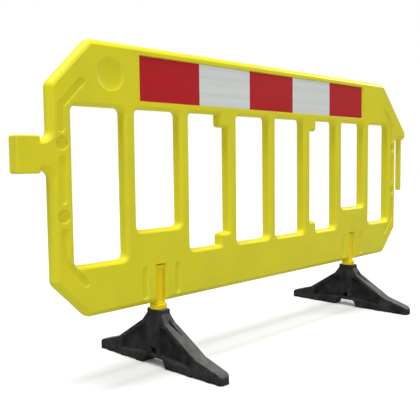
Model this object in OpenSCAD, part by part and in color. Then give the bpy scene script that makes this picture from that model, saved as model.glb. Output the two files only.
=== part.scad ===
// Plastic pedestrian barrier: one hollow moulded panel, reflective bands, and two feet that swivel.
// X runs along the panel, Y = 0 is its middle plane, Z = 0 is the ground.
// The moulding is drawn as rails, stiles, bars, a sleeve and a hook, which meet face to face.

/* [Panel] */
// Height of the top edge above the ground
overall_h = 1000; // [950:1:1300]
// Length of the panel without the sleeve and the hook
panel_l = 1908; // [1800:1:2400]
// Thickness of the panel
panel_t = 45; // [44:1:60]
// Gap between the ground and the lower edge
ground_gap = 207; // [200:1:260]
// Rounding of the outer edges
edge_r = 16; // [8:1:20]
// Thickness of the hollow moulding's wall
wall = 3.5; // [2.5:0.5:5]
// Leg of each upper corner's 45 degree cut
top_cut = 134; // [60:1:160]
// Leg of the cut above the hook
hook_cut = 118; // [60:1:160]
// Leg of each lower corner's 45 degree cut
bottom_cut = 110; // [60:1:140]

/* [Slots] */
// Width of the outermost uprights
stile_w = 69; // [50:1:100]
// Width of the bars between the slots
bar_w = 41; // [30:1:60]
// Width of the bar in the middle
mid_bar_w = 37; // [30:1:60]
// How much wider the third slot is than an even share
third_slot_extra = 8; // [0:1:20]
// Height of the rail above the slots
top_rail_h = 189; // [185:1:230]
// Height of the rail below the tall slots
bottom_rail_h = 151; // [140:1:180]
// Height of the rail below the short slots over the feet
foot_rail_h = 233; // [200:1:260]
// Corner radius of the slots
slot_r = 18; // [6:1:30]
// Width of the stepped corners in the third slots
step_w = 42; // [20:1:60]
// Height of the stepped corners
step_h = 43; // [20:1:60]

/* [Bands] */
// Length of one reflective segment
band_l = 254.5; // [200:0.5:280]
// Height of the reflective segments
band_h = 135; // [80:1:150]
// Thickness of the sheet
band_t = 1.2; // [0.6:0.1:2]
// Gap between two segments
band_gap = 1.5; // [0.5:0.5:4]
// Depth of the recess behind the sheets
recess_d = 5; // [3:0.5:8]
// Distance from the top edge down to the bands
band_drop = 29; // [26:1:34]

/* [Relief] */
// Radius of the round dish in the upper corner
dish_r = 50; // [30:1:55]
// Depth of the dish
dish_d = 3; // [1:0.5:5]
// Width of the flutes on the uprights
flute_w = 20; // [10:1:30]
// Depth of the flutes
flute_d = 5; // [2:0.5:6]
// Radius of the dimples between the flutes
dimple_r = 19; // [10:1:22]

/* [Coupling] */
// Distance from the panel's ends to the axes of the sleeve and the peg
coupling_off = 65; // [58:1:90]
// Length of the sleeve's block along the panel
sleeve_l = 70; // [60:1:80]
// Height of the sleeve
sleeve_h = 102; // [60:1:140]
// Height of the sleeve's lower face above the ground
sleeve_z = 624; // [560:1:680]
// Height of the neck that carries the sleeve
neck_h = 87; // [50:1:100]
// Side of the square hole through the sleeve
sleeve_hole = 30; // [26:1:34]
// Side of the square peg
peg_w = 20; // [16:1:24]
// Free length of the peg below the arm
peg_l = 246; // [120:1:300]
// Gap between the sleeve's top and the arm above it
arm_gap = 18; // [10:1:40]

/* [Stem] */
// How far each foot's axis lies inwards of the short slot's middle
foot_shift = 4; // [-10:1:10]
// Radius of the stem in its channel
stem_r = 16.5; // [14:0.5:17]
// Radius of the stem's head
head_r = 19.5; // [18:0.5:20]
// Height of the stem's head
head_h = 13; // [8:1:16]
// Height of the channel that holds the stem
channel_h = 123; // [90:1:130]
// Radius of the collar that stands on the foot
collar_r = 27.5; // [24:0.5:32]
// Height of the collar
collar_h = 16; // [8:1:20]
// Height of the washer step between collar and panel
step_ring_h = 7; // [4:1:12]
// Radius of the spigot inside the foot
spigot_r = 14; // [11:0.5:16]
// Depth of the spigot inside the foot
spigot_l = 92; // [60:1:100]
// Running clearance between stem and channel, on the radius
run_gap = 0.05; // [0.02:0.01:0.1]

/* [Foot] */
// Length of the foot
foot_l = 588; // [500:1:700]
// Width of the foot's arms
foot_w = 50; // [44:1:64]
// Width of the foot at its tips
tip_w = 42; // [36:1:44]
// Length of the hub's top
hub_l = 70; // [60:1:84]
// Width of the hub's top
hub_w = 40; // [38:1:44]
// Height of the arms' tips
tip_h = 32; // [24:1:40]
// Height of the arch under the hub
arch_h = 26; // [16:1:34]
// Depth of the pockets in the foot's sides
pocket_d = 8; // [3:0.5:10]
// Height of the pads under the foot
pad_h = 7; // [4:1:10]

/* [Fasteners] */
// Radius of the bolt's shank
bolt_r = 6; // [5:0.5:7]
// Width across the flats of the bolt's head
bolt_af = 18; // [16:1:20]
// Height of the bolt's head
bolt_head_h = 7.5; // [6:0.5:10]
// Radius of the washer
washer_r = 14; // [12:0.5:15]
// Thickness of the washer
washer_t = 2.5; // [1.5:0.5:4]

/* [Hidden] */
$fn = 48;
$inset = 0;                                   // how much smaller span() draws its rectangle, all round
diag = sqrt(0.5);
seat = 0.1;                                   // clearance between pieces that don't turn
half_l = panel_l / 2;
half_t = panel_t / 2;
top_z = overall_h;
bottom_z = ground_gap;

// slots: left edges and right edges of the four on the left half, from the outside in
even_w = (half_l - stile_w - 2.5 * bar_w - bar_w / 2 - mid_bar_w / 2 - third_slot_extra) / 4;
slot_ws = [even_w, even_w, even_w + third_slot_extra, even_w];
function slot_start(i) = -half_l + stile_w + (i == 0 ? 0 : i * bar_w + slot_sum(i - 1));
function slot_sum(i) = i < 0 ? 0 : slot_ws[i] + slot_sum(i - 1);
slot_top = top_z - top_rail_h;
slot_bottom = bottom_z + bottom_rail_h;
short_bottom = bottom_z + foot_rail_h;

// coupling
coupling_x = half_l + coupling_off;
sleeve_top = sleeve_z + sleeve_h;
neck_z = sleeve_z + (sleeve_h - neck_h) / 2;
arm_z = sleeve_top + arm_gap;
end_x = coupling_x + sleeve_l / 2;

// stem and foot: place along the panel, and heights from the ground up
foot_x = -slot_start(1) - slot_ws[1] / 2 - foot_shift;
hub_h = bottom_z - step_ring_h - collar_h;
seat_w = 66;                                  // width of the moulding's solid part around a stem
head_gap = 0.5;                               // play of the head above its ledge
head_play = 0.3;                              // play around the head
head_z = bottom_z + channel_h - head_h - 4;
lip = 1.5;                                    // how far each lip of the channel grips over the stem
lip_y = -6;                                   // where the lips grip, in front of the stem's axis
flare_w = 52;                                 // width of the channel's mouth at the panel's face
groove_off = 68;                              // from the foot's axis to the grooves beside the channel
bolt_hole_l = 50;
washer_gap = 20;                              // rubber between the spigot and the washer
washer_z = hub_h - spigot_l - washer_gap;
half_foot = foot_l / 2;
arm_bend = 105;                               // from the tip to the bend in an arm's top
arm_taper = 124;                              // from the tip to where an arm starts to narrow
tip_r = 8;                                    // cut corners of the tip
first_pad = 45;                               // from the tip to the first pad inside the tip's own
pad_pitch = 80;
pad_l = 18;
hub_pad_end = 91;
pocket_end = 151;                             // from the tip to the end of an arm's pocket
window_w = 26;                                // opening through the hub, beside the bolt
window_sill = 14;                             // height of the rubber between the arch and the opening

// relief: the flutes' bends and ends, from the corners' cuts and from the sleeve
flute_slant = 66;                             // run of a slanted end, sideways and up
upper_bend = 56;
lower_bend = 58;
lower_flute_l = 84;
middle_flute_start = 36;
middle_flute_end = 76;
dimple_off = 20;                              // from the sleeve's top to the dimple and to the upper flute
dish_x = 205;                                 // from the panel's left end
dish_drop = 91;
sheet_play = 1;                               // between the sheets and the recess's rim
yellow = [0.78, 0.74, 0.16];
orange_yellow = [0.93, 0.76, 0.08];
red = [0.70, 0.13, 0.14];
white = [0.80, 0.81, 0.80];
charcoal = [0.16, 0.17, 0.17];
zinc = [0.62, 0.62, 0.60];

// rectangle from lo to hi with round corners, in 2D
module round_rect(lo, hi, r) {
    translate([lo.x + r, lo.y]) square([hi.x - lo.x - 2 * r, hi.y - lo.y]);
    translate([lo.x, lo.y + r]) square([hi.x - lo.x, hi.y - lo.y - 2 * r]);
    for (x = [lo.x + r, hi.x - r], y = [lo.y + r, hi.y - r]) translate([x, y]) circle(r);
}

// the same with each corner as three flats, for the outer edges
module eased_rect(lo, hi, r) {
    a = [0, 30, 60, 90];
    polygon([for (q = [0:3], t = a)
        [(q == 0 || q == 3 ? hi.x - r : lo.x + r) + r * cos(t + 90 * q),
         (q < 2 ? hi.y - r : lo.y + r) + r * sin(t + 90 * q)]]);
}

// closes a list of points from x = 0 back to x = 0 with its mirror image
function both_halves(pts) = concat(pts, [for (i = [len(pts) - 2:-1:1]) [-pts[i].x, pts[i].y]]);

// stands a 2D shape up in the XZ plane and extrudes it from y0 to y1
module upright(y0, y1) {
    translate([0, y1, 0]) rotate([90, 0, 0]) linear_extrude(y1 - y0) children();
}

// long slab with eased edges, from lo to hi along its own upright direction and turned by angle about Y;
// inset draws it smaller all round
module eased_slab(lo, hi, angle, inset = 0) {
    rotate([0, angle, 0]) rotate([90, 0, 90])
        linear_extrude(4 * half_l, center = true)
            eased_rect([inset - half_t, lo + inset], [half_t - inset, hi - inset], edge_r - inset);
}

// octagonal plate with eased outer edges
module plate(inset = 0) {
    low = -(half_l - bottom_cut - bottom_z) * diag;
    corner = [half_l - inset, half_t - inset];
    intersection() {
        translate([0, 0, bottom_z - 1])
            linear_extrude(top_z - bottom_z + 2) eased_rect(-corner, corner, edge_r - inset);
        eased_slab(bottom_z, top_z, 0, inset);
        eased_slab(low, (half_l + top_z - top_cut) * diag, -45, inset);
        eased_slab(low, (half_l + top_z - hook_cut) * diag, 45, inset);
    }
}

// arm that carries the peg, on the line of the hook corner's cut
module arm() {
    intersection() {
        eased_slab(-half_l, (half_l + top_z - hook_cut) * diag, 45);
        translate([0, 0, arm_z])
            linear_extrude(top_z - arm_z)
                eased_rect([half_l - 2 * edge_r, -half_t], [end_x, half_t], edge_r);
    }
}

module peg() {
    r = 4;
    translate([0, 0, arm_z - peg_l])
        linear_extrude(peg_l + 20)
            eased_rect([coupling_x - peg_w / 2, -peg_w / 2], [coupling_x + peg_w / 2, peg_w / 2], r);
}

// block that holds the sleeve's hole, and the neck that joins it to the panel
module sleeve_block() {
    r = 10;
    translate([0, 0, sleeve_z])
        linear_extrude(sleeve_h)
            eased_rect([-end_x, -half_t], [-end_x + sleeve_l, half_t], r);
    inset = 3;
    root = 15;                                // how far the neck reaches into the block
    upright(-half_t + inset, half_t - inset)
        translate([-end_x + sleeve_l - root, neck_z]) square([coupling_x - half_l, neck_h]);
}

module sleeve_bore() {
    r = 5;
    translate([0, 0, sleeve_z - 1])
        linear_extrude(sleeve_h + 2)
            round_rect([-coupling_x - sleeve_hole / 2, -sleeve_hole / 2],
                       [-coupling_x + sleeve_hole / 2, sleeve_hole / 2], r);
}

// one slot of the left half, counted from the outside
module slot(i) {
    x0 = slot_start(i);
    z0 = i == 1 ? short_bottom : slot_bottom;
    upright(-half_t - 1, half_t + 1)
        difference() {
            round_rect([x0, z0], [x0 + slot_ws[i], slot_top], slot_r);
            if (i == 2) for (z = [z0, slot_top - step_h])
                translate([x0 + slot_ws[i] - step_w, z]) square([step_w + 1, step_h]);
        }
}

module both_sides() {
    children();
    mirror([1, 0, 0]) children();
}

module both_faces() {
    children();
    mirror([0, 1, 0]) children();
}

// straight flute with round ends between two points of the front face; grow adds to every side
module flute(a, b, grow) {
    d = b - a;
    len = norm(d);
    w = flute_w + 2 * grow;
    upright(-half_t - 1, -half_t + flute_d + grow)
        translate(a) rotate(atan2(d.y, d.x)) {
            translate([0, -w / 2]) square([len, w]);
            circle(w / 2);
            translate([len, 0]) circle(w / 2);
        }
}

// flutes and dimples of the left upright, on the front face
module upright_relief(grow) {
    x = -half_l + stile_w / 2 + 2;
    top = top_z - top_cut - upper_bend;
    low = bottom_z + bottom_cut + lower_bend;
    low_end = low + lower_flute_l;
    mid_end = sleeve_z - middle_flute_end;
    flute([x, top], [x + flute_slant, top + flute_slant], grow);
    flute([x, top - 1], [x, sleeve_top + dimple_off], grow);
    flute([x, sleeve_z + middle_flute_start], [x, mid_end], grow);
    flute([x, low_end], [x, low], grow);
    flute([x, low - 1], [x + flute_slant, low - flute_slant], grow);
    for (z = [sleeve_top - dimple_off, (low_end + mid_end) / 2])
        upright(-half_t - 1, -half_t + flute_d + grow) translate([x, z]) circle(dimple_r + grow);
}

// shallow grooves on both sides of a foot's channel
module channel_grooves(grow) {
    for (x = [-foot_x - groove_off, -foot_x + groove_off])
        flute([x, bottom_z + 30], [x, bottom_z + channel_h - 14], grow);
}

module band_recess(grow) {
    around = sheet_play + grow;
    l = 5 * band_l + 4 * band_gap + 2 * around;
    upright(-half_t - 1, -half_t + recess_d + grow)
        translate([-l / 2, top_z - band_drop - band_h - around]) square([l, band_h + 2 * around]);
}

module dish(grow) {
    upright(-half_t - 1, -half_t + dish_d + grow)
        translate([-half_l + dish_x, top_z - dish_drop]) circle(dish_r + grow);
}

// all that is pressed into the faces of the panel
module face_relief(grow = 0) {
    both_faces() {
        band_recess(grow);
        both_sides() upright_relief(grow);
        both_sides() channel_grooves(grow);
        dish(grow);
    }
}

// round channel for the stem, open to the front, with a ledge for the stem's head
module stem_channel() {
    r = stem_r + run_gap;
    neck = r - lip;
    flare = flare_w / 2;
    top = bottom_z + channel_h;
    translate([-foot_x, 0, bottom_z - 1]) cylinder(r = r, h = channel_h + 1);
    translate([-foot_x, 0, head_z - head_gap]) cylinder(r = head_r + head_play, h = top - head_z + head_gap);
    translate([-foot_x, 0, bottom_z - 1])
        linear_extrude(channel_h + 1)
            polygon([[-neck, lip_y], [neck, lip_y], [flare, -half_t - 1], [-flare, -half_t - 1]]);
}

// square seat at the lower edge, for the ring on the stem
module stem_seat() {
    translate([-foot_x - seat_w / 2, -half_t + 0.5, bottom_z]) cube([seat_w, panel_t - 1, edge_r + 10]);
}

// sealed air space of the blow moulding, one wall inside every surface of the plate
module air_space() {
    difference() {
        plate(wall);
        both_sides() for (i = [0:3]) {
            x0 = slot_start(i) - wall;
            z0 = (i == 1 ? short_bottom : slot_bottom) - wall;
            upright(-half_t, half_t)
                eased_rect([x0, z0], [x0 + slot_ws[i] + 2 * wall, slot_top + wall], slot_r + wall);
        }
        face_relief(wall);
        both_sides() translate([-foot_x - seat_w / 2 - wall, -half_t, bottom_z])
            cube([seat_w + 2 * wall, panel_t, channel_h + wall]);
    }
}

// part of the moulding inside a 2D shape of the XZ plane; a web closes its air space at each joint
module stretch() {
    color(yellow)
        difference() {
            intersection() {
                union() {
                    plate();
                    arm();
                    peg();
                    sleeve_block();
                    both_sides() stem_seat();
                }
                upright(-half_t - 1, half_t + 1) children();
            }
            sleeve_bore();
            both_sides() for (i = [0:3]) slot(i);
            both_sides() stem_channel();
            face_relief();
            intersection() {
                air_space();
                upright(-half_t, half_t) let ($inset = wall / 2) children();
            }
        }
}

// rectangle in the XZ plane
module span(x0, x1, z0, z1) {
    translate([x0 + $inset, z0 + $inset]) square([x1 - x0 - 2 * $inset, z1 - z0 - 2 * $inset]);
}

module top_rail() {
    stretch() span(-half_l, half_l, slot_top, top_z + 1);
}

module bottom_rail() {
    stretch() span(-half_l, half_l, bottom_z - 1, slot_bottom);
}

// upright at the left end
module stile_span() {
    span(-half_l, -half_l + stile_w + slot_r, slot_bottom, slot_top);
}

// raised part of the lower rail, over the left foot
module raised_span() {
    x0 = slot_start(1);
    span(x0, x0 + slot_ws[1], slot_bottom, short_bottom);
}

// bar on the inner side of slot i of the left half, with the roundings at its ends
module bar_span(i) {
    x0 = slot_start(i) + slot_ws[i];
    left = i == 2 ? step_w : slot_r;
    difference() {
        span(x0 - left, x0 + (i == 3 ? mid_bar_w : bar_w) + slot_r, slot_bottom, slot_top);
        let ($inset = -$inset) raised_span();
    }
}

module sleeve() {
    stretch() span(-end_x - 1, -half_l, sleeve_z - 1, sleeve_top + 1);
}

module hook() {
    stretch() span(half_l, end_x + 1, arm_z - peg_l - 1, top_z);
}

// one segment of the bands, i from 0 at the left, against the recess's floor
module sheet(i) {
    x = (i - 2) * (band_l + band_gap) - band_l / 2;
    color(i % 2 == 0 ? red : white)
        upright(-half_t + recess_d - band_t, -half_t + recess_d)
            translate([x, top_z - band_drop - band_h]) square([band_l, band_h]);
}

// stem of the left foot: spigot, collar, washer step, shank and head, turned about its axis
module stem() {
    c = 1.5;
    collar_z = hub_h + collar_h;
    top = head_z + head_h;
    color(orange_yellow)
        translate([-foot_x, 0, 0]) difference() {
            rotate_extrude()
                polygon([[0, hub_h - spigot_l], [spigot_r, hub_h - spigot_l], [spigot_r, hub_h],
                         [collar_r, hub_h], [collar_r, collar_z - c], [collar_r - c, collar_z],
                         [stem_r + 5, collar_z], [stem_r + 5, bottom_z], [stem_r, bottom_z],
                         [stem_r, head_z], [head_r, head_z], [head_r, top - c], [head_r - c, top], [0, top]]);
            translate([0, 0, hub_h - spigot_l - 1]) cylinder(r = bolt_r + seat, h = bolt_hole_l);
        }
}

// outline of half the foot in YZ, from the middle outwards and back under the arm, with its pads
function foot_half() = concat(
    [[0, hub_h], [hub_l / 2, hub_h], [hub_l / 2 + 2, hub_h - 22], [hub_l / 2 + 8, hub_h - 34],
     [hub_l / 2 + 22, hub_h - 43], [half_foot - arm_bend, tip_h + 27], [half_foot - 14, tip_h],
     [half_foot - 4, tip_h - 4], [half_foot, tip_h - 14], [half_foot, 4], [half_foot - 4, 0],
     [half_foot - 22, 0], [half_foot - 26, pad_h]],
    [for (i = [0:1], p = [[3, pad_h], [0, 0], [-pad_l, 0], [-pad_l - 3, pad_h]])
        [half_foot - first_pad - i * pad_pitch + p.x, p.y]],
    [[hub_pad_end + 5, pad_h], [hub_pad_end, 0], [56, 0], [50, 4], [36, arch_h], [0, arch_h]]);

// left foot: side outline, front outline and plan cut from one block, then pockets and bores
module foot() {
    color(charcoal)
        translate([-foot_x, 0, 0]) difference() {
            intersection() {
                rotate([90, 0, 90]) linear_extrude(foot_w, center = true) polygon(both_halves(foot_half()));
                rotate([90, 0, 0]) linear_extrude(foot_l, center = true)
                    polygon(both_halves([[0, 0], [foot_w / 2, 0], [foot_w / 2, hub_h - 55],
                                         [hub_w / 2, hub_h - 22], [hub_w / 2, hub_h], [0, hub_h]]));
                linear_extrude(hub_h) rotate(90)
                    polygon(both_halves([[0, foot_w / 2], [half_foot - arm_taper, foot_w / 2],
                                         [half_foot - tip_r, tip_w / 2], [half_foot, tip_w / 2 - tip_r],
                                         [half_foot, tip_r - tip_w / 2], [half_foot - tip_r, -tip_w / 2],
                                         [half_foot - arm_taper, -foot_w / 2], [0, -foot_w / 2]]));
            }
            for (s = [0, 1], f = [0, 1]) mirror([s, 0, 0]) mirror([0, f, 0])
                translate([foot_w / 2 - pocket_d, 0, 0]) rotate([90, 0, 90]) linear_extrude(pocket_d + 1)
                    polygon([[37, 42], [37, hub_h - 66], [46, hub_h - 68], [half_foot - pocket_end, 62],
                             [half_foot - pocket_end, 32]]);
            translate([0, 0, hub_h - spigot_l - seat]) cylinder(r = spigot_r + seat, h = spigot_l + 1);
            translate([0, 0, arch_h - 1]) cylinder(r = bolt_r + seat, h = hub_h);
            translate([0, 0, arch_h - 1]) cylinder(r = washer_r + 1, h = washer_z - arch_h + 1);
            translate([-foot_w / 2 - 1, -window_w / 2, arch_h + window_sill])
                cube([foot_w + 2, window_w, washer_z - arch_h - window_sill - 4]);
        }
}

module washer() {
    color(zinc)
        translate([-foot_x, 0, washer_z - washer_t]) difference() {
            cylinder(r = washer_r, h = washer_t);
            translate([0, 0, -1]) cylinder(r = bolt_r + seat, h = washer_t + 2);
        }
}

module bolt() {
    under = washer_z - washer_t;
    color(zinc)
        translate([-foot_x, 0, 0]) {
            translate([0, 0, under - bolt_head_h]) cylinder(r = bolt_af / sqrt(3), h = bolt_head_h, $fn = 6);
            translate([0, 0, under - 1]) cylinder(r = bolt_r, h = hub_h - spigot_l + bolt_hole_l - under - 4);
        }
}

top_rail();
bottom_rail();
stretch() stile_span();  // left_stile
stretch() mirror([1, 0]) stile_span();  // right_stile
stretch() bar_span(0);  // bar_1
stretch() bar_span(1);  // bar_2
stretch() bar_span(2);  // bar_3
stretch() bar_span(3);  // bar_4
stretch() mirror([1, 0]) bar_span(2);  // bar_5
stretch() mirror([1, 0]) bar_span(1);  // bar_6
stretch() mirror([1, 0]) bar_span(0);  // bar_7
stretch() raised_span();  // left_raised_rail
stretch() mirror([1, 0]) raised_span();  // right_raised_rail
sleeve();
hook();
sheet(0);  // front_sheet_1
sheet(1);  // front_sheet_2
sheet(2);  // front_sheet_3
sheet(3);  // front_sheet_4
sheet(4);  // front_sheet_5
mirror([0, 1, 0]) sheet(0);  // rear_sheet_1
mirror([0, 1, 0]) sheet(1);  // rear_sheet_2
mirror([0, 1, 0]) sheet(2);  // rear_sheet_3
mirror([0, 1, 0]) sheet(3);  // rear_sheet_4
mirror([0, 1, 0]) sheet(4);  // rear_sheet_5
stem();  // left_stem
mirror([1, 0, 0]) stem();  // right_stem
foot();  // left_foot
mirror([1, 0, 0]) foot();  // right_foot
washer();  // left_washer
mirror([1, 0, 0]) washer();  // right_washer
bolt();  // left_bolt
mirror([1, 0, 0]) bolt();  // right_bolt
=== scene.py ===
import math

import bpy
from mathutils import Matrix, Vector


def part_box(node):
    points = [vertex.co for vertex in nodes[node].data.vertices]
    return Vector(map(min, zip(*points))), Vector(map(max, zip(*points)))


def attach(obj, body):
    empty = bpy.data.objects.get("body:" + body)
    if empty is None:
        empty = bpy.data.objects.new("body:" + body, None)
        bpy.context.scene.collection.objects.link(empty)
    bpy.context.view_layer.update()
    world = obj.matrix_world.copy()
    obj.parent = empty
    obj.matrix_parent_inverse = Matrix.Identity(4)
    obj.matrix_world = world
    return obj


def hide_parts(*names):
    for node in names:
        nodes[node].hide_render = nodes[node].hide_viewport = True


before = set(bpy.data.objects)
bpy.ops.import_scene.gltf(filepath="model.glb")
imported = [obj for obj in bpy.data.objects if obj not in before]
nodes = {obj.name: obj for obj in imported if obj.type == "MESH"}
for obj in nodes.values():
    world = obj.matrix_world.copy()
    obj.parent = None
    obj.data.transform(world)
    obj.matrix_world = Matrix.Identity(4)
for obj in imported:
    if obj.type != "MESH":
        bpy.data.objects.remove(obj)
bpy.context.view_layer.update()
print("frame loaded:", len(nodes), "nodes")


def deselectAll():
    bpy.ops.object.select_all(action="DESELECT")


def makeActive(piece):
    deselectAll()
    piece.select_set(True)
    bpy.context.view_layer.objects.active = piece


# corners are (a, b, radius); each one becomes an arc that touches both of its sides
def roundedPath(corners, arcPoints=7):
    path = []
    count = len(corners)
    for i, (a, b, radius) in enumerate(corners):
        here = Vector((a, b))
        toLast = (Vector(corners[i - 1][:2]) - here).normalized()
        toNext = (Vector(corners[(i + 1) % count][:2]) - here).normalized()
        half = toLast.angle(toNext) / 2
        if radius <= 0 or half > math.radians(89):   # sharp or nearly straight
            path.append(here)
            continue
        middle = (toLast + toNext).normalized()
        centre = here + middle * radius / math.sin(half)
        start = here + toLast * radius / math.tan(half) - centre
        end = here + toNext * radius / math.tan(half) - centre
        turn = start.angle_signed(end)
        for k in range(arcPoints):
            angle = -turn * k / (arcPoints - 1)
            path.append(centre + Matrix.Rotation(angle, 2) @ start)
    return path


def circlePath(x, z, radius, count):
    angles = [math.tau * k / count for k in range(count)]
    return [Vector((x + radius * math.cos(a), z + radius * math.sin(a))) for a in angles]


def rectanglePath(left, low, right, high, radius, arcPoints):
    corners = [(left, low, radius), (right, low, radius), (right, high, radius), (left, high, radius)]
    return roundedPath(corners, arcPoints)


def squareAround(x, y, side, radius):
    h = side / 2
    return rectanglePath(x - h, y - h, x + h, y + h, radius, 5)


# the same path at the other end of the piece
def flipped(path):
    return [Vector((-p[0], p[1])) for p in reversed(path)]


# an upright shape lies in XZ and is pushed along Y, a flat one lies in XY and is pushed along Z,
# and a side one lies in YZ and is pushed along X
def inPlane(plane, a, b, depth):
    if plane == "upright":
        return Vector((a, depth, b))
    if plane == "flat":
        return Vector((a, b, depth))
    return Vector((depth, a, b))


def prism(name, path, plane, start, end):
    deselectAll()
    bpy.ops.mesh.primitive_circle_add(vertices=len(path), fill_type="NGON")
    piece = bpy.context.object
    piece.name = name
    for vertex, point in zip(piece.data.vertices, path):
        vertex.co = inPlane(plane, point[0], point[1], start)
    bpy.ops.object.mode_set(mode="EDIT")
    bpy.ops.mesh.select_all(action="SELECT")
    push = inPlane(plane, 0, 0, end - start)
    bpy.ops.mesh.extrude_region_move(TRANSFORM_OT_translate={"value": push})
    bpy.ops.mesh.select_all(action="SELECT")
    bpy.ops.mesh.normals_make_consistent(inside=False)
    bpy.ops.object.mode_set(mode="OBJECT")
    return piece


# a cutter whose walls lean inwards step by step, so that the hollow it leaves has soft rims;
# pathAt(inset) is its outline that far inwards, and profile is a list of (how far inwards, how deep)
def softCutter(pathAt, plane, surface, inward, profile, lead=0.004):
    rings = [(0, -lead), (0, 0)] + profile
    verts, faces = [], []
    for inset, deep in rings:
        verts += [inPlane(plane, p[0], p[1], surface + inward * deep) for p in pathAt(inset)]
    count = len(verts) // len(rings)
    for level in range(len(rings) - 1):
        for i in range(count):
            near, far = level * count, (level + 1) * count
            faces.append((near + i, near + (i + 1) % count, far + (i + 1) % count, far + i))
    faces += [tuple(range(count)), tuple(range(len(verts) - count, len(verts)))]
    mesh = bpy.data.meshes.new("softCutter")
    mesh.from_pydata(verts, [], faces)
    piece = bpy.data.objects.new("softCutter", mesh)
    bpy.context.scene.collection.objects.link(piece)
    makeActive(piece)
    bpy.ops.object.mode_set(mode="EDIT")
    bpy.ops.mesh.select_all(action="SELECT")
    bpy.ops.mesh.normals_make_consistent(inside=False)
    bpy.ops.object.mode_set(mode="OBJECT")
    return piece


def combine(target, other, operation):
    makeActive(target)
    step = target.modifiers.new("combine", "BOOLEAN")
    step.operation = operation
    step.solver = "EXACT"
    step.object = other
    bpy.ops.object.modifier_apply(modifier=step.name)
    bpy.data.objects.remove(other)


def cut(target, cutter):
    combine(target, cutter, "DIFFERENCE")


# bevels the sharp edges whose middle isWanted says yes to
def bevelWhere(piece, sharpness, width, segments, isWanted, profile=0.5):
    makeActive(piece)
    bpy.ops.object.mode_set(mode="EDIT")
    bpy.ops.mesh.select_mode(type="EDGE")
    bpy.ops.mesh.select_all(action="DESELECT")
    bpy.ops.mesh.edges_select_sharp(sharpness=math.radians(sharpness))
    bpy.ops.object.mode_set(mode="OBJECT")
    verts = piece.data.vertices
    for edge in piece.data.edges:
        if edge.select:
            middle = (verts[edge.vertices[0]].co + verts[edge.vertices[1]].co) / 2
            edge.select = isWanted(middle)
    for polygon in piece.data.polygons:
        polygon.select = False
    for vertex in verts:
        vertex.select = False
    bpy.ops.object.mode_set(mode="EDIT")
    bpy.ops.mesh.bevel(offset=width, segments=segments, profile=profile, affect="EDGES",
                       clamp_overlap=False)
    bpy.ops.object.mode_set(mode="OBJECT")


def smoothOff(piece, angle):
    makeActive(piece)
    bpy.ops.object.mode_set(mode="EDIT")
    bpy.ops.mesh.select_all(action="SELECT")
    bpy.ops.mesh.remove_doubles(threshold=0.00002)
    bpy.ops.mesh.dissolve_degenerate(threshold=0.00001)
    bpy.ops.object.mode_set(mode="OBJECT")
    bpy.ops.object.shade_smooth_by_angle(angle=math.radians(angle))
    step = piece.modifiers.new("weightedNormals", "WEIGHTED_NORMAL")
    step.keep_sharp = True
    bpy.ops.object.modifier_apply(modifier=step.name)


def coat(piece, material):
    piece.data.materials.clear()
    piece.data.materials.append(material)


def finish(piece, material, slotName, bodyName, *cadNodes):
    coat(piece, material)
    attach(piece, bodyName)
    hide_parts(*cadNodes)


def newMaterial(name):
    material = bpy.data.materials.new(name)
    material.use_nodes = True
    tree = material.node_tree
    shader = tree.nodes["Principled BSDF"]
    coords = tree.nodes.new("ShaderNodeTexCoord")
    return material, tree, shader, coords.outputs["Object"]


# a value is another node's output, a colour or a number
def plug(tree, socket, value):
    if hasattr(value, "links"):
        tree.links.new(value, socket)
    elif isinstance(value, tuple):
        socket.default_value = (*value, 1)
    else:
        socket.default_value = value


def noise(tree, coords, scale, detail=3, roughness=0.5, stretch=None):
    node = tree.nodes.new("ShaderNodeTexNoise")
    node.inputs["Scale"].default_value = scale
    node.inputs["Detail"].default_value = detail
    node.inputs["Roughness"].default_value = roughness
    if stretch:
        mapping = tree.nodes.new("ShaderNodeMapping")
        mapping.inputs["Scale"].default_value = stretch
        tree.links.new(coords, mapping.inputs["Vector"])
        coords = mapping.outputs["Vector"]
    tree.links.new(coords, node.inputs["Vector"])
    return node.outputs["Fac"]


def mixColours(tree, amount, first, second):
    node = tree.nodes.new("ShaderNodeMix")
    node.data_type = "RGBA"
    for place, value in ((0, amount), (6, first), (7, second)):   # the sockets that a colour mix uses
        plug(tree, node.inputs[place], value)
    return node.outputs[2]


def calculate(tree, operation, *values):
    node = tree.nodes.new("ShaderNodeMath")
    node.operation = operation
    for socket, value in zip(node.inputs, values):
        plug(tree, socket, value)
    return node.outputs[0]


def mapRange(tree, value, fromLow, fromHigh, toLow, toHigh):
    node = tree.nodes.new("ShaderNodeMapRange")
    tree.links.new(value, node.inputs["Value"])
    ends = {"From Min": fromLow, "From Max": fromHigh, "To Min": toLow, "To Max": toHigh}
    for name, number in ends.items():
        node.inputs[name].default_value = number
    return node.outputs["Result"]


def bump(tree, height, distance, strength, under=None):
    node = tree.nodes.new("ShaderNodeBump")
    node.inputs["Distance"].default_value = distance
    node.inputs["Strength"].default_value = strength
    tree.links.new(height, node.inputs["Height"])
    if under:
        tree.links.new(under, node.inputs["Normal"])
    return node.outputs["Normal"]


plasticLook = {"fresh": (0.85, 0.775, 0.022), "worn": (0.77, 0.72, 0.030), "dustAndTopLight": (0.60, 0.58, 0.22),
               "cloudScale": 5, "scuffScale": 60, "scuffStretch": (1, 1, 0.25), "scuffAmount": 0.35,
               "smoothest": 0.36, "roughSpread": 0.12, "specular": 0.18,
               "waveScale": 14, "waveDepth": 0.004, "peelScale": 420, "peelDepth": 0.0006,
               "bumpStrength": 0.25}
# the stem's plastic is more orange than the panel's, and its colours are also brightened as painted light
# that makes up for the shade in its channel
stemBrightenedLook = {**plasticLook, "fresh": (0.97, 0.76, 0.003), "worn": (0.95, 0.70, 0.004),
            "dustAndTopLight": (0.66, 0.46, 0.10), "smoothest": 0.30}


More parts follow.
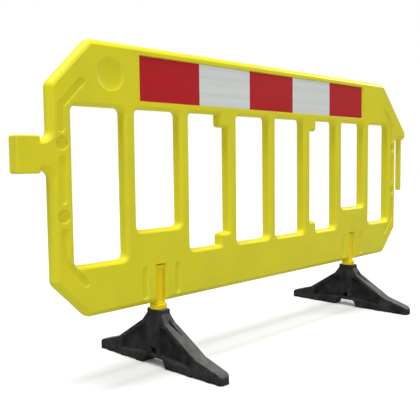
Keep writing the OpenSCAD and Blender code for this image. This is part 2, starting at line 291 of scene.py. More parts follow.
# moulded polyethylene: a little cloudy, scuffed along its height, with a fine orange peel
def makeMouldedPlastic(name, look):
    material, tree, shader, coords = newMaterial(name)
    cloudy = noise(tree, coords, look["cloudScale"], 5, 0.6)
    base = mixColours(tree, mapRange(tree, cloudy, 0.35, 0.7, 0, 1), look["fresh"], look["worn"])
    scuffs = noise(tree, coords, look["scuffScale"], 6, 0.7, look["scuffStretch"])
    scuffMask = mapRange(tree, scuffs, 0.62, 0.78, 0, look["scuffAmount"])
    tree.links.new(mixColours(tree, scuffMask, base, look["dustAndTopLight"]), shader.inputs["Base Color"])
    rough = mapRange(tree, cloudy, 0.3, 0.7, look["smoothest"], look["smoothest"] + look["roughSpread"])
    tree.links.new(rough, shader.inputs["Roughness"])
    strength = look["bumpStrength"]
    waves = bump(tree, noise(tree, coords, look["waveScale"], 2), look["waveDepth"], strength)
    peel = bump(tree, noise(tree, coords, look["peelScale"], 2), look["peelDepth"], strength, waves)
    tree.links.new(peel, shader.inputs["Normal"])
    shader.inputs["Specular IOR Level"].default_value = look["specular"]
    return material


sheetLook = {"red": (0.60, 0.007, 0.012), "redDark": (0.45, 0.008, 0.014),
             "white": (0.86, 0.90, 0.87), "whiteDark": (0.70, 0.74, 0.72),
             "cell": 0.004, "cellJitter": 0.12, "seamDepth": 0.0003, "streakScale": 9,
             "streakStretch": (0.15, 1, 6), "streakAmount": 0.6, "smoothest": 0.34, "roughest": 0.46,
             "specular": 0.25, "film": 0.1, "filmRoughness": 0.25}


# prismatic sheeting: small cells with faint seams and long soft streaks, under a clear film
def makeSheeting(name, bright, dark):
    material, tree, shader, coords = newMaterial(name)
    cells = tree.nodes.new("ShaderNodeTexVoronoi")
    cells.feature = "DISTANCE_TO_EDGE"
    cells.inputs["Scale"].default_value = 1 / sheetLook["cell"]
    cells.inputs["Randomness"].default_value = sheetLook["cellJitter"]
    tree.links.new(coords, cells.inputs["Vector"])
    seams = mapRange(tree, cells.outputs["Distance"], 0.02, 0.10, 0, 1)
    streaks = noise(tree, coords, sheetLook["streakScale"], 3, 0.5, sheetLook["streakStretch"])
    tone = mixColours(tree, mapRange(tree, streaks, 0.35, 0.65, 0, sheetLook["streakAmount"]), bright, dark)
    darker = mixColours(tree, calculate(tree, "MULTIPLY", seams, 0.35), dark, tone)
    colour = mixColours(tree, mapRange(tree, seams, 0, 1, 0.25, 1), darker, tone)
    tree.links.new(colour, shader.inputs["Base Color"])
    rough = mapRange(tree, streaks, 0.3, 0.7, sheetLook["smoothest"], sheetLook["roughest"])
    tree.links.new(rough, shader.inputs["Roughness"])
    tree.links.new(bump(tree, seams, sheetLook["seamDepth"], 0.3), shader.inputs["Normal"])
    shader.inputs["Specular IOR Level"].default_value = sheetLook["specular"]
    shader.inputs["Coat Weight"].default_value = sheetLook["film"]
    shader.inputs["Coat Roughness"].default_value = sheetLook["filmRoughness"]
    return material


# on the rubber, the light grey mixed onto upward faces is painted top light, not dust
rubberLook = {"black": (0.006, 0.006, 0.007), "grey": (0.036, 0.037, 0.036), "dustAndTopLight": (0.120, 0.127, 0.126),
              "crumbScale": 320, "crumbDepth": 0.0008, "mottleScale": 22, "topLightPatchScale": 40,
              "lumpScale": 55, "lumpDepth": 0.004, "bumpStrength": 0.5, "smoothest": 0.55, "roughest": 0.75,
              "specular": 0.3, "topLightSlope": 0.15, "topLightLow": 0.055, "topLightHigh": 0.062, "topLightInPockets": 0.1}


# ground rubber crumb pressed to shape, with painted top light on the arms' tops, uneven in patches
def makeRubber(name, look):
    material, tree, shader, coords = newMaterial(name)
    crumbs = tree.nodes.new("ShaderNodeTexVoronoi")
    crumbs.inputs["Scale"].default_value = look["crumbScale"]
    tree.links.new(coords, crumbs.inputs["Vector"])
    mottled = mapRange(tree, noise(tree, coords, look["mottleScale"], 6, 0.65), 0.36, 0.64, 0, 1)
    base = mixColours(tree, mottled, look["black"], look["grey"])
    geometry = tree.nodes.new("ShaderNodeNewGeometry")
    facing = tree.nodes.new("ShaderNodeSeparateXYZ")
    tree.links.new(geometry.outputs["Normal"], facing.inputs["Vector"])
    upward = mapRange(tree, facing.outputs["Z"], 0.25, 0.9, 0, 1)
    patches = mapRange(tree, noise(tree, coords, look["topLightPatchScale"], 6, 0.65), 0.3, 0.65, 0.35, 1)
    # the tops get lower towards the tips, and the pockets' ledges stay below this sloping line
    place = tree.nodes.new("ShaderNodeSeparateXYZ")
    tree.links.new(coords, place.inputs["Vector"])
    outward = calculate(tree, "ABSOLUTE", place.outputs["Y"])
    slope = calculate(tree, "MULTIPLY", outward, look["topLightSlope"])
    height = calculate(tree, "ADD", slope, place.outputs["Z"])
    onTop = mapRange(tree, height, look["topLightLow"], look["topLightHigh"], look["topLightInPockets"], 1)
    # painted top light: faces that point up are lightened towards a light grey, unevenly in patches, less
    # on the pockets' ledges
    paintedTopLight = calculate(tree, "MULTIPLY", calculate(tree, "MULTIPLY", upward, patches), onTop)
    tree.links.new(mixColours(tree, paintedTopLight, base, look["dustAndTopLight"]), shader.inputs["Base Color"])
    rough = mapRange(tree, crumbs.outputs["Distance"], 0, 0.6, look["smoothest"], look["roughest"])
    tree.links.new(rough, shader.inputs["Roughness"])
    strength = look["bumpStrength"]
    grain = bump(tree, crumbs.outputs["Distance"], look["crumbDepth"], strength)
    lumps = bump(tree, noise(tree, coords, look["lumpScale"], 5, 0.6), look["lumpDepth"], strength, grain)
    tree.links.new(lumps, shader.inputs["Normal"])
    shader.inputs["Specular IOR Level"].default_value = look["specular"]
    return material


zincLook = {"bright": (0.62, 0.62, 0.60), "dull": (0.42, 0.42, 0.43), "grainScale": 160,
            "grainDepth": 0.0002, "metallic": 0.9, "smoothest": 0.3, "roughest": 0.5}


def makeZinc(name, look):
    material, tree, shader, coords = newMaterial(name)
    grain = noise(tree, coords, look["grainScale"], 5, 0.6)
    tree.links.new(mixColours(tree, grain, look["bright"], look["dull"]), shader.inputs["Base Color"])
    shader.inputs["Metallic"].default_value = look["metallic"]
    rough = mapRange(tree, grain, 0.3, 0.7, look["smoothest"], look["roughest"])
    tree.links.new(rough, shader.inputs["Roughness"])
    tree.links.new(bump(tree, grain, look["grainDepth"], 0.3), shader.inputs["Normal"])
    return material


mouldedYellow = makeMouldedPlastic("mouldedYellow", plasticLook)
stemYellowBrightened = makeMouldedPlastic("stemYellowBrightened", stemBrightenedLook)
redSheeting = makeSheeting("redSheeting", sheetLook["red"], sheetLook["redDark"])
whiteSheeting = makeSheeting("whiteSheeting", sheetLook["white"], sheetLook["whiteDark"])
crumbRubber = makeRubber("crumbRubber", rubberLook)
zincPlate = makeZinc("zincPlate", zincLook)
print("materials made")


# the moulded panel: neckPast is how far past the sleeve's middle the neck runs, and spare is how far
# a cutter stands out of what it cuts
panel = {"edgeR": 0.016, "lipR": 0.010, "bevelProfile": 0.36, "cornerR": 0.028, "slotR": 0.018,
         "stepW": 0.042, "stepH": 0.043, "stepR": 0.0045, "stepCornerR": 0.011, "topCut": 0.134,
         "hookCut": 0.118, "bottomCut": 0.110, "armGap": 0.018, "armFillet": 0.012, "tipR": 0.0175,
         "neckInset": 0.0075, "neckPast": 0.026, "neckFillet": 0.022, "smoothBelow": 18, "spare": 0.01}

topLow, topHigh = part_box("top_rail")
railLow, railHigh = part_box("bottom_rail")
raisedLow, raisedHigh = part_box("left_raised_rail")
sleeveLow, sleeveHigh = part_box("sleeve")
hookLow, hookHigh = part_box("hook")
stileLow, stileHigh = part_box("left_stile")
halfL = topHigh.x
halfT = topHigh.y
slotTop = topLow.z
slotBottom = railHigh.z
armZ = sleeveHigh.z + panel["armGap"]


def onFaceEdge(p):
    return abs(abs(p.y) - halfT) < 1e-5


def onSlotRim(p):
    return onFaceEdge(p) and slotBottom - 0.001 < p.z < slotTop + 0.001


def slotEdges():
    # the bars' boxes reach one corner radius, or one step, into the slots beside them
    bars = [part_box(f"bar_{i}") for i in range(1, 5)]
    starts = [stileHigh.x - panel["slotR"]] + [high.x - panel["slotR"] for low, high in bars[:3]]
    reach = [panel["slotR"], panel["slotR"], panel["stepW"], panel["slotR"]]
    ends = [low.x + r for (low, high), r in zip(bars, reach)]
    return list(zip(starts, ends))


# the second slot from each end is shorter, and the third has a step at its inner corners
def slotPath(i, left, right, side):
    r, step, small = panel["slotR"], panel["stepCornerR"], panel["stepR"]
    low = raisedHigh.z if i == 1 else slotBottom
    corners = [(left, low, r), (right, low, r), (right, slotTop, r), (left, slotTop, r)]
    if i == 2:
        inner = right - panel["stepW"]
        below, above = low + panel["stepH"], slotTop - panel["stepH"]
        corners = [(left, low, r), (inner, low, small), (inner, below, step), (right, below, small),
                   (right, above, small), (inner, above, step), (inner, slotTop, small), (left, slotTop, r)]
    path = roundedPath(corners)
    return path if side < 0 else flipped(path)


def panelOutline():
    big, tip, fillet = panel["cornerR"], panel["tipR"], panel["neckFillet"]
    neckTop, neckLow = sleeveHigh.z - panel["neckInset"], sleeveLow.z + panel["neckInset"]
    neckEnd = (sleeveLow.x + sleeveHigh.x) / 2 - panel["neckPast"]
    endX = hookHigh.x
    tipTop = topHigh.z + halfL - panel["hookCut"] - endX
    return roundedPath([
        (-halfL + panel["bottomCut"], railLow.z, big), (halfL - panel["bottomCut"], railLow.z, big),
        (halfL, railLow.z + panel["bottomCut"], big), (halfL, armZ, panel["armFillet"]),
        (endX, armZ, tip), (endX, tipTop, tip), (halfL - panel["hookCut"], topHigh.z, big),
        (-halfL + panel["topCut"], topHigh.z, big), (-halfL, topHigh.z - panel["topCut"], big),
        (-halfL, neckTop, fillet), (neckEnd, neckTop, tip), (neckEnd, neckLow, tip),
        (-halfL, neckLow, fillet), (-halfL, railLow.z + panel["bottomCut"], big)])


def buildPlate():
    reach = halfT + panel["spare"]
    plate = prism("panelMoulding", panelOutline(), "upright", -halfT, halfT)
    bevelWhere(plate, 60, panel["edgeR"], 6, onFaceEdge, panel["bevelProfile"])
    for side in (-1, 1):
        for i, (left, right) in enumerate(slotEdges()):
            cut(plate, prism("slotCutter", slotPath(i, left, right, side), "upright", -reach, reach))
    bevelWhere(plate, 60, panel["lipR"], 5, onSlotRim, panel["bevelProfile"])
    return plate


sleeve = {"length": 0.070, "endR": 0.006, "rimR": 0.0057, "hole": 0.030, "holeR": 0.005, "holeRim": 0.003,
          "rimProfile": [(0.0010, 0.0005), (0.0020, 0.0014), (0.0028, 0.0030)]}


def buildSleeve():
    low, high, r = sleeveLow, sleeveHigh, sleeve["endR"]
    blockEnd = low.x + sleeve["length"]
    path = rectanglePath(low.x, low.z, blockEnd, high.z, r, 4)
    block = prism("sleeveBlock", path, "upright", -halfT, halfT)
    bevelWhere(block, 60, sleeve["rimR"], 4, onFaceEdge)
    return block


# fromTip is from the arm's tip to the peg's axis
peg = {"width": 0.020, "edgeR": 0.003, "fromTip": 0.035, "intoArm": 0.02}


def buildPeg():
    x = hookHigh.x - peg["fromTip"]
    square = squareAround(x, 0, peg["width"], peg["edgeR"])
    stalk = prism("peg", square, "flat", hookLow.z, armZ + peg["intoArm"])
    bevelWhere(stalk, 60, peg["edgeR"], 3, lambda p: p.z < hookLow.z + 0.001)
    return stalk


moulding = buildPlate()
print("plate:", len(moulding.data.polygons), "faces")
combine(moulding, buildSleeve(), "UNION")
combine(moulding, buildPeg(), "UNION")
print("plate with sleeve and peg:", len(moulding.data.polygons), "faces")

# what is pressed into the panel's faces: lengths run from the panel's ends and corners, the sleeve or
# the lower edge, and each profile is a list of (how far inwards, how deep)
relief = {"fluteW": 0.020, "fluteRim": 0.003, "fluteX": 0.0365, "fluteSlant": 0.066, "fluteBendR": 0.012,
          "upperBend": 0.056, "upperEnd": 0.020, "middleStart": 0.036, "middleEnd": 0.076,
          "lowerBend": 0.058, "lowerL": 0.084, "roundness": 0.985,
          "grooveOff": 0.068, "grooveLow": 0.030, "grooveHigh": 0.109,
          "dimpleR": 0.021, "dimpleDrop": 0.020, "dishR": 0.050, "dishX": 0.205, "dishDrop": 0.094,
          "recessGap": 0.001, "recessSpare": 0.012, "recessR": 0.004,
          "armRise": 0.016, "armStart": 0.030, "armEnd": 0.014, "armR": 0.0055}
profiles = {
    "flute": [(0.0010, 0.0004), (0.0020, 0.0016), (0.0030, 0.0034), (0.0042, 0.0046), (0.0064, 0.0050)],
    "groove": [(0.0012, 0.0006), (0.0030, 0.0022), (0.0055, 0.0039), (0.0090, 0.0050)],
    "dimple": [(0.0012, 0.0006), (0.0026, 0.0024), (0.0038, 0.0056), (0.0056, 0.0080), (0.0090, 0.0092)],
    "dish": [(0.0016, 0.0008), (0.0040, 0.0026), (0.0080, 0.0046), (0.0150, 0.0064), (0.0250, 0.0076),
             (0.0370, 0.0082)],
    "recess": [(0.0008, 0.0004), (0.0014, 0.0012), (0.0020, 0.0048), (0.0024, 0.0050)],
    "arm": [(0.0010, 0.0006), (0.0025, 0.0016), (0.0040, 0.0022)]}


def stemBox(side):
    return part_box(f"{side}_stem")


# outline of a groove that follows two or three points, with round ends
def groovePath(points, radius):
    points = [Vector(p) for p in points]
    first = (points[1] - points[0]).normalized()
    last = (points[-1] - points[-2]).normalized()
    across = Vector((-first.y, first.x))
    acrossEnd = Vector((-last.y, last.x))
    ends, bend = radius * relief["roundness"], relief["fluteBendR"]
    start = points[0] - first * radius
    stop = points[-1] + last * radius
    leftSide, rightSide = [], []
    if len(points) == 3:
        middle = (across + acrossEnd).normalized()
        reach = radius / middle.dot(across)
        leftSide = [(*(points[1] + middle * reach), bend)]
        rightSide = [(*(points[1] - middle * reach), bend)]
    corners = ([(*(start - across * radius), ends)] + rightSide + [(*(stop - acrossEnd * radius), ends),
               (*(stop + acrossEnd * radius), ends)] + leftSide + [(*(start + across * radius), ends)])
    return roundedPath(corners)


# presses one hollow into both faces
def pressInto(pathAt, profile, mirrored=False):
    for face in (-1, 1):
        turned = (lambda inset: flipped(pathAt(inset))) if mirrored else pathAt
        cut(moulding, softCutter(turned, "upright", face * halfT, -face, profile))


def pressFlutes():
    x = -halfL + relief["fluteX"]
    side = relief["fluteSlant"]
    upper = topHigh.z - panel["topCut"] - relief["upperBend"]
    lower = railLow.z + panel["bottomCut"] + relief["lowerBend"]
    lowEnd, midEnd = lower + relief["lowerL"], sleeveLow.z - relief["middleEnd"]
    radius = relief["fluteW"] / 2 + relief["fluteRim"]
    runs = [[(x + side, upper + side), (x, upper), (x, sleeveHigh.z + relief["upperEnd"])],
            [(x, sleeveLow.z + relief["middleStart"]), (x, midEnd)],
            [(x, lowEnd), (x, lower), (x + side, lower - side)]]
    grooveLow, grooveHigh = railLow.z + relief["grooveLow"], railLow.z + relief["grooveHigh"]
    footX = (stemBox("left")[0].x + stemBox("left")[1].x) / 2
    for mirrored in (False, True):
        for run in runs:
            pressInto(lambda inset: groovePath(run, radius - inset), profiles["flute"], mirrored)
        for z in (sleeveHigh.z - relief["dimpleDrop"], (lowEnd + midEnd) / 2):
            pressInto(lambda inset: circlePath(x, z, relief["dimpleR"] - inset, 28), profiles["dimple"],
                      mirrored)
        for off in (-relief["grooveOff"], relief["grooveOff"]):
            run = [(footX + off, grooveLow), (footX + off, grooveHigh)]
            pressInto(lambda inset: groovePath(run, radius - inset), profiles["groove"], mirrored)


def pressDish():
    x, z = -halfL + relief["dishX"], topHigh.z - relief["dishDrop"]
    pressInto(lambda inset: circlePath(x, z, relief["dishR"] - inset, 64), profiles["dish"])


# the rolled edge along the arm's lower side
def pressArm():
    z = armZ + relief["armRise"]
    run = [(halfL + relief["armStart"], z), (hookHigh.x - relief["armEnd"], z)]
    pressInto(lambda inset: groovePath(run, relief["armR"] - inset), profiles["arm"])


# the long recess that the sheets lie in
def pressRecess():
    first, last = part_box("front_sheet_1"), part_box("front_sheet_5")

    def path(inset):
        clear = relief["recessGap"] + profiles["recess"][-1][0] - inset
        left, right = first[0].x - clear, last[1].x + relief["recessSpare"] + clear
        low, high, r = first[0].z - clear, first[1].z + clear, relief["recessR"] - inset
        return rectanglePath(left, low, right, high, r, 4)

    pressInto(path, profiles["recess"])


# the stems' channels; wrap is how far the bore goes round below its widest line, in degrees
channel = {"bore": 0.01655, "wrap": 22, "neck": 0.0150, "neckY": -0.006, "headR": 0.0198, "headH": 0.0135,
           "headroom": 0.004, "below": 0.02}


def cutChannel(side):
    low, high = stemBox(side)
    x = (low.x + high.x) / 2
    top = high.z + channel["headroom"]
    # its lips are rounded all the way from the bore to the panel's face
    bore, lipR = channel["bore"], halfT + channel["neckY"]
    wrap = channel["wrap"]
    backAngles = [math.radians(-wrap + (180 + 2 * wrap) * k / 24) for k in range(25)]
    back = [(x + bore * math.cos(a), bore * math.sin(a)) for a in backAngles]
    lipAngles = [math.radians(90 * k / 8) for k in range(9)]
    lip = [(channel["neck"] + lipR * (1 - math.cos(a)), channel["neckY"] - lipR * math.sin(a))
           for a in lipAngles]
    lip.append((lip[-1][0] + 0.001, -halfT - 0.001))
    mouth = [(x - away, y) for away, y in lip] + [(x + away, y) for away, y in reversed(lip)]
    cut(moulding, prism("channelCutter", back + mouth, "flat", railLow.z - channel["below"], top))
    head = circlePath(x, 0, channel["headR"], 36)
    cut(moulding, prism("headCutter", head, "flat", high.z - channel["headH"], top))


def cutSleeveHole():
    x = sleeveLow.x + sleeve["length"] / 2
    square = squareAround(x, 0, sleeve["hole"], sleeve["holeR"])
    spare = panel["spare"]
    cut(moulding, prism("holeCutter", square, "flat", sleeveLow.z - spare, sleeveHigh.z + spare))

    def wide(inset):
        grow = sleeve["holeRim"] - inset
        return squareAround(x, 0, sleeve["hole"] + 2 * grow, sleeve["holeR"] + grow)

    cut(moulding, softCutter(wide, "flat", sleeveHigh.z, -1, sleeve["rimProfile"]))
    cut(moulding, softCutter(wide, "flat", sleeveLow.z, 1, sleeve["rimProfile"]))


pressFlutes()
pressDish()
pressRecess()
pressArm()
for side in ("left", "right"):
    cutChannel(side)
cutSleeveHole()
smoothOff(moulding, panel["smoothBelow"])
mouldingNodes = [n for n in nodes
                 if n.endswith(("rail", "stile")) or n.startswith("bar_") or n in ("sleeve", "hook")]
finish(moulding, mouldedYellow, "panel", "barrier", *mouldingNodes)
print("moulding:", len(moulding.data.polygons), "faces")

# sheets, washers and bolts keep their CAD shape
for name, node in nodes.items():
    if "sheet" in name:
        coat(node, redSheeting if int(name[-1]) % 2 else whiteSheeting)
    if "washer" in name or "bolt" in name:
        coat(node, zincPlate)
print("sheets and fasteners coated")

# soft is the rounding of its corners, and the screw's room runs up from its foot
stem = {"shankR": 0.0165, "headR": 0.0195, "headH": 0.013, "collarR": 0.0275, "collarH": 0.016,
        "stepR": 0.0215, "spigotR": 0.014, "screwR": 0.0062, "screwL": 0.046, "dimpleR": 0.011,
        "dimpleDepth": 0.002, "dimpleTaper": 0.001, "soft": 0.0015, "axisR": 0.0001, "smoothBelow": 40}


# lathes a profile of (radius, z) about the upright line through x
def lathe(name, profile, x, steps=64):
    deselectAll()
    bpy.ops.mesh.primitive_circle_add(vertices=len(profile), fill_type="NOTHING")
    piece = bpy.context.object
    piece.name = name
    for vertex, (radius, z) in zip(piece.data.vertices, profile):
        vertex.co = (x + radius, 0, z)
    bpy.ops.object.mode_set(mode="EDIT")
    bpy.ops.mesh.select_all(action="SELECT")
    bpy.ops.mesh.spin(steps=steps, angle=math.tau, center=(x, 0, 0), axis=(0, 0, 1))
    bpy.ops.mesh.select_all(action="SELECT")
    bpy.ops.mesh.remove_doubles(threshold=0.00001)
    bpy.ops.mesh.normals_make_consistent(inside=False)
    bpy.ops.object.mode_set(mode="OBJECT")
    return piece


def buildStem(side):
    low, high = stemBox(side)
    x = (low.x + high.x) / 2
    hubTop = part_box(f"{side}_foot")[1].z
    soft = stem["soft"]
    collarTop = hubTop + stem["collarH"]
    headLow = high.z - stem["headH"]
    dimpleLow, screwTop = high.z - stem["dimpleDepth"], low.z + stem["screwL"]
    corners = [(stem["screwR"], low.z, 0.0001),
               (stem["spigotR"], low.z, soft), (stem["spigotR"], hubTop, soft / 3),
               (stem["collarR"], hubTop, soft / 2), (stem["collarR"], collarTop, soft * 2),
               (stem["stepR"], collarTop, soft / 2), (stem["stepR"], railLow.z, soft / 2),
               (stem["shankR"], railLow.z, soft / 3), (stem["shankR"], headLow, soft / 3),
               (stem["headR"], headLow, soft / 2), (stem["headR"], high.z, soft * 1.6),
               (stem["dimpleR"], high.z, soft / 2),
               (stem["dimpleR"] - stem["dimpleTaper"], dimpleLow, soft / 2),
               (stem["axisR"], dimpleLow, 0), (stem["axisR"], screwTop, 0), (stem["screwR"], screwTop, 0)]
    piece = lathe(f"{side}Stem", [tuple(p) for p in roundedPath(corners, 4)], x)
    smoothOff(piece, stem["smoothBelow"])
    finish(piece, stemYellowBrightened, "stem", f"{side}_base", f"{side}_stem")


for side in ("left", "right"):
    buildStem(side)
print("stems made")

# heights and drops are from the ground and from the hub's top; the rest runs out from the hub's middle
# or, where a name says fromTip, in from the tip
foot = {"width": 0.050, "hubW": 0.040, "hubL": 0.070, "hubBlockH": 0.014, "shoulder": 0.056,
        "shoulderDrop": 0.042, "bendFromTip": 0.105, "bendRise": 0.027, "tipW": 0.042, "tipH": 0.032,
        "noseFromTip": 0.014, "noseRise": 0.001, "tipChin": 0.010, "padH": 0.007,
        "padsFromTip": (0.045, 0.125), "padL": 0.018, "padSlope": 0.003, "tipPadL": 0.022,
        "tipPadSlope": 0.004, "innerPadL": 0.035, "innerPadSlope": 0.005, "arch": 0.040, "archH": 0.026,
        "soft": 0.004, "softAbove": 0.012, "smoothBelow": 42, "spare": 0.01}
footTaper = {"fromTip": 0.124, "corner": 0.008, "cornerW": 0.009, "spare": 0.0001,
             "hubDrop": 0.022, "waistDrop": 0.056}
footPocket = {"start": 0.034, "startLow": 0.036, "startDrop": 0.054, "fromTip": 0.132, "endLow": 0.027,
              "endHigh": 0.056, "crown": 0.052, "crownDrop": 0.060, "rim": 0.004,
              "profile": [(0.0012, 0.0007), (0.0021, 0.0024), (0.0028, 0.0090), (0.0040, 0.0125),
                          (0.0065, 0.0140)]}
footWindow = {"halfW": 0.013, "low": 0.036, "high": 0.060,
              "profile": [(0.0010, 0.0006), (0.0018, 0.0020), (0.0026, 0.0120), (0.0040, 0.0160)]}
armGroove = {"width": 0.010, "start": 0.048, "startDrop": 0.042, "root": 0.052, "rootDrop": 0.050,
             "end": 0.115, "endDrop": 0.0785}
footBores = {"spigotR": 0.0142, "spigotL": 0.0921, "boltR": 0.0152, "boltTop": 0.072, "shankR": 0.0062,
             "shankLow": 0.05, "shankDrop": 0.08}


def footOutline(half, hubTop):
    hub, pad, slope = foot["hubL"] / 2, foot["padH"], foot["padSlope"]
    inner = foot["shoulder"]
    innerEnd = inner + foot["innerPadL"]
    pads = []
    for fromTip in foot["padsFromTip"]:
        y = half - fromTip
        far = y - foot["padL"]
        pads += [(y + slope, pad, 0.002), (y, 0, 0.003), (far, 0, 0.003), (far - slope, pad, 0.002)]
    tipPad = half - foot["tipPadL"]
    right = [(hub, hubTop, 0.004), (hub, hubTop - foot["hubBlockH"], 0.006),
             (foot["shoulder"], hubTop - foot["shoulderDrop"], 0.014),
             (half - foot["bendFromTip"], foot["tipH"] + foot["bendRise"], 0.060),
             (half - foot["noseFromTip"], foot["tipH"] + foot["noseRise"], 0.016),
             (half, foot["tipH"] - foot["tipChin"], 0.011), (half, 0, 0.006),
             (tipPad, 0, 0.003), (tipPad - foot["tipPadSlope"], pad, 0.002)] + pads + [
             (innerEnd + foot["innerPadSlope"], pad, 0.002), (innerEnd, 0, 0.003), (inner, 0, 0.006),
             (foot["arch"], foot["archH"], 0.010)]
    left = [(-y, z, r) for y, z, r in reversed(right)]
    return roundedPath(right + left, 5)


# narrower at the tips, seen from above
def footPlan(half):
    w, tip = foot["width"] / 2, foot["tipW"] / 2
    taper, corner = half - footTaper["fromTip"], half - footTaper["corner"]
    nose, end = tip - footTaper["cornerW"], half + footTaper["spare"]
    cap = [(w, taper, 0.05), (tip, corner, 0.004), (nose, end, 0.008),
           (-nose, end, 0.008), (-tip, corner, 0.004), (-w, taper, 0.05)]
    turned = [(-a, -b, r) for a, b, r in cap]
    return roundedPath(turned[-1:] + cap + turned[:-1], 5)


# narrower at the hub's top, seen from the front
def footFront(hubTop):
    w, h = foot["width"] / 2 + 0.001, foot["hubW"] / 2
    waist, hub = hubTop - footTaper["waistDrop"], hubTop - footTaper["hubDrop"]
    below, above = -foot["spare"], hubTop + foot["spare"]
    return roundedPath([(-w, below, 0), (w, below, 0), (w, waist, 0.03), (h, hub, 0.02), (h, above, 0),
                        (-h, above, 0), (-h, hub, 0.02), (-w, waist, 0.03)], 6)


def pocketOutline(half, hubTop, grow):
    start, end = footPocket["start"] - grow, half - footPocket["fromTip"] + grow
    return roundedPath([(start, footPocket["startLow"] - grow, 0.008),
                        (end, footPocket["endLow"] - grow, 0.004),
                        (end, footPocket["endHigh"] + grow, 0.010),
                        (footPocket["crown"], hubTop - footPocket["crownDrop"] + grow, 0.012),
                        (start, hubTop - footPocket["startDrop"] + grow, 0.005)], 6)


def windowOutline(inset):
    w, low, high = footWindow["halfW"] - inset, footWindow["low"] + inset, footWindow["high"] - inset
    return roundedPath([(-w, low, 0.004), (w, low, 0.004), (w, high, 0.006), (-w, high, 0.006)], 5)


# the groove that runs down each arm's top from the hub
def grooveOutline(hubTop):
    return roundedPath([(armGroove["start"], hubTop - armGroove["startDrop"], 0),
                        (armGroove["root"], hubTop - armGroove["rootDrop"], 0.003),
                        (armGroove["end"], hubTop - armGroove["endDrop"], 0),
                        (armGroove["end"], hubTop, 0), (armGroove["start"], hubTop, 0)], 4)


def buildFoot(side):
    low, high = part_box(f"{side}_foot")
    x = (low.x + high.x) / 2
    half, hubTop = high.y, high.z
    w, spare = foot["width"] / 2, foot["spare"]
    body = prism(f"{side}Foot", footOutline(half, hubTop), "side", x - w, x + w)
    plan = [Vector((x + p.x, p.y)) for p in footPlan(half)]
    combine(body, prism("footPlan", plan, "flat", -spare, hubTop + spare), "INTERSECT")
    front = [Vector((x + p.x, p.y)) for p in footFront(hubTop)]
    combine(body, prism("footFront", front, "upright", -half - spare, half + spare), "INTERSECT")
    bevelWhere(body, 50, foot["soft"], 3, lambda p: p.z > foot["softAbove"])

    for face in (-1, 1):
        for arm in (-1, 1):
            def pocketAt(inset):
                path = pocketOutline(half, hubTop, footPocket["rim"] - inset)
                return path if arm > 0 else flipped(path)

            cut(body, softCutter(pocketAt, "side", x + face * w, -face, footPocket["profile"]))
        cut(body, softCutter(windowOutline, "side", x + face * w, -face, footWindow["profile"]))

    for arm in (-1, 1):
        path = grooveOutline(hubTop) if arm > 0 else flipped(grooveOutline(hubTop))
        cut(body, prism("armGroove", path, "side", x - armGroove["width"] / 2, x + armGroove["width"] / 2))

    # bore for the stem's spigot, and below it the bolt's shank and the room for its head and washer
    for name, radius, count, start, end in (
            ("spigotBore", footBores["spigotR"], 36, hubTop - footBores["spigotL"], hubTop + spare),
            ("boltBore", footBores["boltR"], 36, foot["archH"] - 2 * spare, footBores["boltTop"]),
            ("shankBore", footBores["shankR"], 24, footBores["shankLow"], hubTop - footBores["shankDrop"])):
        cut(body, prism(name, circlePath(x, 0, radius, count), "flat", start, end))
    smoothOff(body, foot["smoothBelow"])
    finish(body, crumbRubber, "foot", f"{side}_base", f"{side}_foot")


for side in ("left", "right"):
    buildFoot(side)
print("feet made")

studio = {"floor": (0.84, 0.84, 0.84), "floorBounce": (0.42, 0.42, 0.42), "floorSize": 60,
          "floorDrop": 0.0005, "skyLight": 0.14, "sun": 3.8, "sunSpread": 40, "sunTilt": -10,
          "frontPlace": (-3.0, -4.3, 3.4), "frontAim": (0, 0, 0.5), "frontSize": 3, "frontPower": 86,
          "rightPlace": (4.6, -0.7, 3.0), "rightAim": (0, 0, 0.6), "rightSize": 1.5, "rightPower": 85}


# the floor and the sky are bright to look at, but throw only a little light on the barrier
def addFloor():
    deselectAll()
    bpy.ops.mesh.primitive_plane_add(size=studio["floorSize"], location=(0, 0, -studio["floorDrop"]))
    floor = bpy.context.object
    floor.name = "studioFloor"
    material, tree, shader, coords = newMaterial("paleFloor")
    seen = tree.nodes.new("ShaderNodeLightPath").outputs["Is Camera Ray"]
    colour = mixColours(tree, seen, studio["floorBounce"], studio["floor"])
    tree.links.new(colour, shader.inputs["Base Color"])
    shader.inputs["Roughness"].default_value = 0.9
    floor.data.materials.append(material)


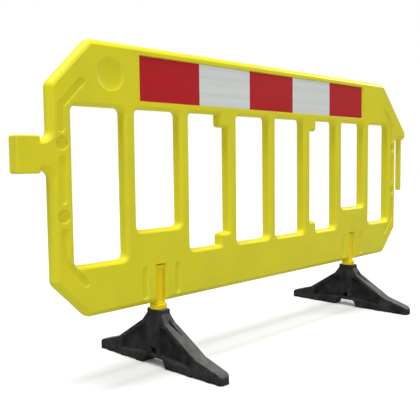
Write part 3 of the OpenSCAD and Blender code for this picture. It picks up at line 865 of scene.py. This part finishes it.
def addSky():
    world = bpy.data.worlds.new("studio")
    world.use_nodes = True
    tree = world.node_tree
    glow = tree.nodes["Background"]
    glow.inputs["Color"].default_value = (1, 1, 1, 1)
    seen = tree.nodes.new("ShaderNodeLightPath").outputs["Is Camera Ray"]
    tree.links.new(mapRange(tree, seen, 0, 1, studio["skyLight"], 1), glow.inputs["Strength"])
    bpy.context.scene.world = world


def addSun():
    deselectAll()
    tilt = math.radians(studio["sunTilt"])
    bpy.ops.object.light_add(type="SUN", location=(0, 0, 4), rotation=(0, tilt, 0))
    lamp = bpy.context.object
    lamp.name = "overheadLight"
    lamp.data.energy = studio["sun"]
    lamp.data.angle = math.radians(studio["sunSpread"])


def addSoftLight(name, key):
    place, aim, size, power = (studio[key + what] for what in ("Place", "Aim", "Size", "Power"))
    deselectAll()
    bpy.ops.object.light_add(type="AREA", location=place)
    lamp = bpy.context.object
    lamp.name = name
    lamp.data.shape = "SQUARE"
    lamp.data.size = size
    lamp.data.energy = power
    lamp.rotation_euler = (Vector(aim) - Vector(place)).to_track_quat("-Z", "Y").to_euler()


addFloor()
addSky()
addSun()
addSoftLight("frontFill", "front")
addSoftLight("rightLight", "right")
print("studio lit")

# yaw is clockwise from +Y seen from above, in degrees
cameraFit = {"place": (-1.8722, -1.509, 0.6514), "yaw": 45.78, "pitch": -4.44, "roll": -0.68, "lens": 53.88,
             "sensor": 36}


def placeCamera(fit):
    yaw, pitch, roll = (math.radians(fit[k]) for k in ("yaw", "pitch", "roll"))
    ahead = Vector((math.sin(yaw) * math.cos(pitch), math.cos(yaw) * math.cos(pitch), math.sin(pitch)))
    right = Vector((math.cos(yaw), -math.sin(yaw), 0))
    up = right.cross(ahead)
    tiltedRight = math.cos(roll) * right + math.sin(roll) * up
    tiltedUp = -math.sin(roll) * right + math.cos(roll) * up
    deselectAll()
    bpy.ops.object.camera_add(location=fit["place"])
    camera = bpy.context.object
    camera.name = "mainCamera"
    turn = Matrix((tiltedRight, tiltedUp, -ahead)).transposed()
    camera.matrix_world = Matrix.Translation(Vector(fit["place"])) @ turn.to_4x4()
    camera.data.lens = fit["lens"]
    camera.data.sensor_width = fit["sensor"]
    bpy.context.scene.camera = camera


placeCamera(cameraFit)
bpy.context.scene.view_settings.view_transform = "Standard"
print("camera placed")
